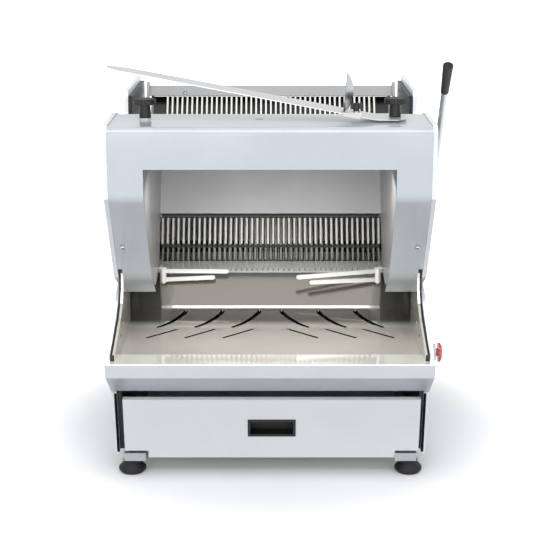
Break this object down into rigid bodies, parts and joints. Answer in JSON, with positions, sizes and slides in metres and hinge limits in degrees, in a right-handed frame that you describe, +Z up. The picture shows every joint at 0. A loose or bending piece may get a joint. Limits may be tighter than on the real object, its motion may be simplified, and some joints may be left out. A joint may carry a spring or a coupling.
{
  "type": "counter-top bread slicer",
  "caption": "Counter-top electric bread slicer with two reciprocating blade frames, a lever-driven pusher rake, slotted outfeed tray, crumb drawer and bagging scoop.",
  "frame": {"origin": "centre of the bounding box in X and Y at the rest pose, on the counter surface under the feet", "axes": "+X to the machine's right as the operator at the outfeed sees it, where the lever is; +Y from the outfeed side to the loading side; +Z up"},
  "size_m": [0.6852, 0.8, 0.8808],
  "materials": {
    "painted_sheet": "satin",
    "painted_hood": "satin",
    "painted_drawer": "satin",
    "inner_sheet": "satin",
    "stainless": "polished",
    "satin_guard": "satin",
    "scoop_sheet": "satin",
    "frame_steel": "satin",
    "dark_steel": "satin",
    "blade_steel": "satin",
    "machined_steel": "polished",
    "chromed_steel": "polished",
    "bearing_steel": "polished",
    "cast_aluminium": "satin",
    "tine_aluminium": "satin",
    "arm_aluminium": "satin",
    "bronze": "satin",
    "motor_paint": "satin",
    "white_plastic": "matte",
    "grey_plastic": "satin",
    "black_plastic": "satin",
    "red_plastic": "gloss",
    "black_rubber": "matte",
    "belt_rubber": "matte"
  },
  "bodies": {
    "machine_body": {"side_plate_left": "dark_steel", "side_plate_right": "dark_steel", "side_casing_left": "painted_sheet", "side_casing_right": "painted_sheet", "base_pan": "inner_sheet", "rear_panel": "painted_sheet", "foot_brackets": "inner_sheet", "front_apron": "painted_sheet", "outfeed_tray": "stainless", "hood": "painted_hood", "tunnel_walls": "stainless", "guard_plate": "satin_guard", "blade_cover": "satin_guard", "crank_bearings": "inner_sheet", "frame_guides": "white_plastic", "motor": "motor_paint", "motor_cradle": "inner_sheet", "drive_belt": "belt_rubber", "guide_rods": "machined_steel", "shaft_bushes": "bronze", "loading_bed": "stainless", "bed_beam": "inner_sheet", "flap_pin": "machined_steel", "slice_arm_pivots": "machined_steel", "drawer_runners": "inner_sheet", "stop_collar": "grey_plastic"},
    "front_blades": {"blade_frame_a": "frame_steel", "blades_a": "blade_steel"},
    "rear_blades": {"blade_frame_b": "frame_steel", "blades_b": "blade_steel"},
    "crank": {"crankshaft": "machined_steel", "crank_rollers": "bearing_steel", "crank_pulley": "cast_aluminium"},
    "motor_rotor": {"motor_pulley": "cast_aluminium"},
    "pusher_carriage": {"rake_tines": "tine_aluminium", "rake_cross_bars": "dark_steel", "rake_top_plate": "satin_guard", "carriage_plates": "frame_steel", "slide_bushes": "white_plastic"},
    "push_lever": {"lever_shaft": "machined_steel", "lever_arm": "chromed_steel", "lever_grip": "black_plastic", "crank_arms": "frame_steel", "arm_rollers": "bearing_steel"},
    "flap": {"outfeed_flap": "tine_aluminium"},
    "holder_left": {"slice_arm_left": "arm_aluminium"},
    "holder_right": {"slice_arm_right": "arm_aluminium"},
    "crumb_drawer": {"drawer_front": "painted_drawer", "drawer_pull": "black_plastic", "drawer_tray": "inner_sheet"},
    "clamp_left": {"knob_left": "black_plastic"},
    "clamp_right": {"knob_right": "black_plastic"},
    "bag_scoop": {"scoop": "scoop_sheet"},
    "bag_clip": {"scoop_clip": "chromed_steel"},
    "clip_screw": {"wing_knob": "black_plastic"},
    "stop_cap": {"stop_button": "red_plastic"},
    "foot_fl": {"foot_front_left": "black_rubber"},
    "foot_fr": {"foot_front_right": "black_rubber"},
    "foot_rl": {"foot_rear_left": "black_rubber"},
    "foot_rr": {"foot_rear_right": "black_rubber"}
  },
  "joints": [
    {"name": "crank_spin", "type": "hinge", "parent": "machine_body", "child": "crank", "pos_m": [-0.01265, -0.08163, 0.17684], "axis": [1, 0, 0], "range_deg": [-60, 60]},
    {"name": "front_blades_stroke", "type": "slide", "parent": "machine_body", "child": "front_blades", "axis": [0, 0.4695, 0.8829], "range_m": [-0.0109, 0.0109]},
    {"name": "rear_blades_stroke", "type": "slide", "parent": "machine_body", "child": "rear_blades", "axis": [0, 0.4695, 0.8829], "range_m": [-0.0112, 0.0112]},
    {"name": "motor_spin", "type": "hinge", "parent": "machine_body", "child": "motor_rotor", "pos_m": [0.12635, 0.24, 0.156], "axis": [1, 0, 0], "range_deg": [-92, 92]},
    {"name": "lever_swing", "type": "hinge", "parent": "machine_body", "child": "push_lever", "pos_m": [-0.01265, 0.135, 0.251], "axis": [1, 0, 0], "range_deg": [0, 43]},
    {"name": "pusher_slide", "type": "slide", "parent": "machine_body", "child": "pusher_carriage", "axis": [0, -1, 0], "range_m": [0, 0.1003]},
    {"name": "flap_hinge", "type": "hinge", "parent": "machine_body", "child": "flap", "pos_m": [-0.01265, 0.06918, 0.48965], "axis": [-1, 0, 0], "range_deg": [0, 45]},
    {"name": "holder_left_swing", "type": "hinge", "parent": "machine_body", "child": "holder_left", "pos_m": [-0.25265, -0.028, 0.3755], "axis": [0, 0, -1], "range_deg": [0, 60]},
    {"name": "holder_right_swing", "type": "hinge", "parent": "machine_body", "child": "holder_right", "pos_m": [0.22735, -0.028, 0.3755], "axis": [0, 0, 1], "range_deg": [-12, 45]},
    {"name": "drawer_slide", "type": "slide", "parent": "machine_body", "child": "crumb_drawer", "axis": [0, -1, 0], "range_m": [0, 0.25]},
    {"name": "knob_left_turn", "type": "hinge", "parent": "machine_body", "child": "clamp_left", "pos_m": [-0.26665, -0.213, 0.7573], "axis": [0, 0, 1], "continuous": true},
    {"name": "knob_right_turn", "type": "hinge", "parent": "machine_body", "child": "clamp_right", "pos_m": [0.24135, -0.213, 0.7591], "axis": [0, 0, 1], "continuous": true},
    {"name": "scoop_swing", "type": "hinge", "parent": "machine_body", "child": "bag_scoop", "pos_m": [0.24135, -0.213, 0.758], "axis": [0, 0, 1], "range_deg": [-10, 40]},
    {"name": "clip_slide", "type": "slide", "parent": "bag_scoop", "child": "bag_clip", "axis": [-0.9824, 0, 0.1868], "range_m": [0, 0.3]},
    {"name": "wing_turn", "type": "hinge", "parent": "bag_clip", "child": "clip_screw", "pos_m": [0.16035, -0.249, 0.781], "axis": [0, 0, 1], "continuous": true},
    {"name": "stop_press", "type": "slide", "parent": "machine_body", "child": "stop_cap", "axis": [-1, 0, 0], "range_m": [0, 0.0045], "stiffness_N_per_m": 800},
    {"name": "foot_front_left_turn", "type": "hinge", "parent": "machine_body", "child": "foot_fl", "pos_m": [-0.30865, -0.25, 0.031], "axis": [0, 0, 1], "continuous": true},
    {"name": "foot_front_right_turn", "type": "hinge", "parent": "machine_body", "child": "foot_fr", "pos_m": [0.28335, -0.25, 0.031], "axis": [0, 0, 1], "continuous": true},
    {"name": "foot_rear_left_turn", "type": "hinge", "parent": "machine_body", "child": "foot_rl", "pos_m": [-0.30865, 0.345, 0.031], "axis": [0, 0, 1], "continuous": true},
    {"name": "foot_rear_right_turn", "type": "hinge", "parent": "machine_body", "child": "foot_rr", "pos_m": [0.28335, 0.345, 0.031], "axis": [0, 0, 1], "continuous": true}
  ],
  "couplings": [
    {"joint": "crank_spin", "follows": "front_blades_stroke", "rad_per_m": 95.238},
    {"joint": "rear_blades_stroke", "follows": "front_blades_stroke", "ratio": -1},
    {"joint": "motor_spin", "follows": "front_blades_stroke", "rad_per_m": 123.81},
    {"joint": "pusher_slide", "follows": "lever_swing", "m_per_rad": 0.13325}
  ]
}
